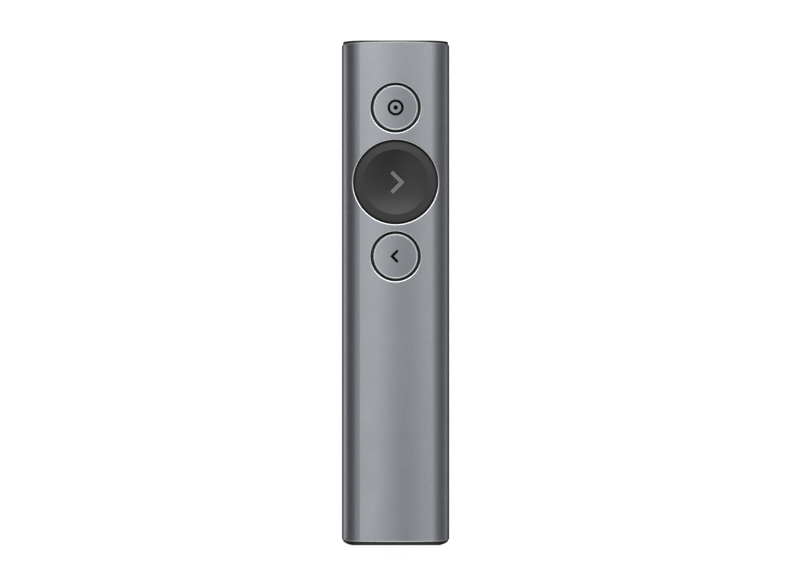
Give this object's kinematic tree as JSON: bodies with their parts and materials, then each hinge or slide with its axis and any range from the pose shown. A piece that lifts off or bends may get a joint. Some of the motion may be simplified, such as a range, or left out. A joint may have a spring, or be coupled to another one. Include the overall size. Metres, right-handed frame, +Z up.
{
  "type": "wireless presentation clicker",
  "caption": "Slim hand-held presenter: flat oval aluminium sleeve, round push buttons in a row, and a plug-in receiver stowed in the tail.",
  "frame": {"origin": "on the flat back, under the middle of the body", "axes": "+Z up out of the button side, +Y along the body towards the nose, +X across to the right when the nose points away"},
  "size_m": [0.0282, 0.1314, 0.0121],
  "materials": {
    "anodised_grey": "slate-grey anodised, fine bead-blasted satin",
    "dark_plastic": "dark grey moulded, matte",
    "black_moulding": "black moulded, matte",
    "circuit_board": "green solder mask",
    "steel": "plain nickel-plated",
    "chip_resin": "black resin, matte",
    "antenna_ceramic": "white, matte",
    "passive_ceramic": "tan, matte",
    "cell_foil": "silver pouch foil, satin",
    "foam": "black closed-cell foam",
    "lead_insulation": "red silicone",
    "rotor_metal": "sintered heavy metal, dull",
    "receiver_plastic": "dark grey moulded, fine matte",
    "plug_steel": "nickel-plated, satin",
    "plug_tongue": "black moulded",
    "gold_contact": "gold-plated",
    "tab_tape": "black woven tape",
    "large_button": "dark grey, satin gloss",
    "small_button": "slate grey, satin",
    "plunger_moulding": "natural white, self-lubricating",
    "switch_case": "black moulded",
    "dome_steel": "thin spring steel"
  },
  "bodies": {
    "handset": {"sleeve": "anodised_grey", "front_end_cap": "dark_plastic", "receiver_dock": "dark_plastic", "chassis_tray": "black_moulding", "button_frame": "black_moulding", "main_board": "circuit_board", "board_screws": "steel", "charging_port_shell": "steel", "charging_port_tongue": "black_moulding", "radio_chip": "chip_resin", "motion_sensor": "chip_resin", "charger_chip": "chip_resin", "crystal": "steel", "chip_antenna": "antenna_ceramic", "board_passives": "passive_ceramic", "battery_cell": "cell_foil", "battery_foam": "foam", "protection_board": "circuit_board", "battery_leads": "lead_insulation", "motor_can": "steel", "motor_base": "steel", "pointer_switch": "switch_case", "next_switch": "switch_case", "back_switch": "switch_case", "pointer_dome": "dome_steel", "next_dome": "dome_steel", "back_dome": "dome_steel"},
    "pointer_button": {"pointer_cap": "small_button", "pointer_plunger": "plunger_moulding", "pointer_actuator": "plunger_moulding"},
    "next_button": {"next_cap": "large_button", "next_plunger": "plunger_moulding", "next_actuator": "plunger_moulding"},
    "back_button": {"back_cap": "small_button", "back_plunger": "plunger_moulding", "back_actuator": "plunger_moulding"},
    "rotor": {"motor_rotor": "rotor_metal"},
    "receiver": {"receiver_upper_shell": "receiver_plastic", "receiver_lower_shell": "receiver_plastic", "receiver_board": "circuit_board", "receiver_chip": "chip_resin", "receiver_plug_shell": "plug_steel", "receiver_plug_tongue": "plug_tongue", "receiver_contacts": "gold_contact", "pull_tab": "tab_tape", "pull_tab_pin": "steel"}
  },
  "joints": [
    {"name": "pointer_press", "type": "slide", "parent": "handset", "child": "pointer_button", "axis": [0, 0, -1], "range_m": [0, 0.0005], "stiffness_N_per_m": 2000, "springref_m": -0.0005, "deforming": ["pointer_dome"]},
    {"name": "next_press", "type": "slide", "parent": "handset", "child": "next_button", "axis": [0, 0, -1], "range_m": [0, 0.0005], "stiffness_N_per_m": 2000, "springref_m": -0.0005, "deforming": ["next_dome"]},
    {"name": "back_press", "type": "slide", "parent": "handset", "child": "back_button", "axis": [0, 0, -1], "range_m": [0, 0.0005], "stiffness_N_per_m": 2000, "springref_m": -0.0005, "deforming": ["back_dome"]},
    {"name": "motor_spin", "type": "hinge", "parent": "handset", "child": "rotor", "pos_m": [0, 0.04815, 0], "axis": [0, 0, 1], "continuous": true},
    {"name": "receiver_slide", "type": "slide", "parent": "handset", "child": "receiver", "axis": [0, -1, 0], "range_m": [0, 0.046]}
  ]
}
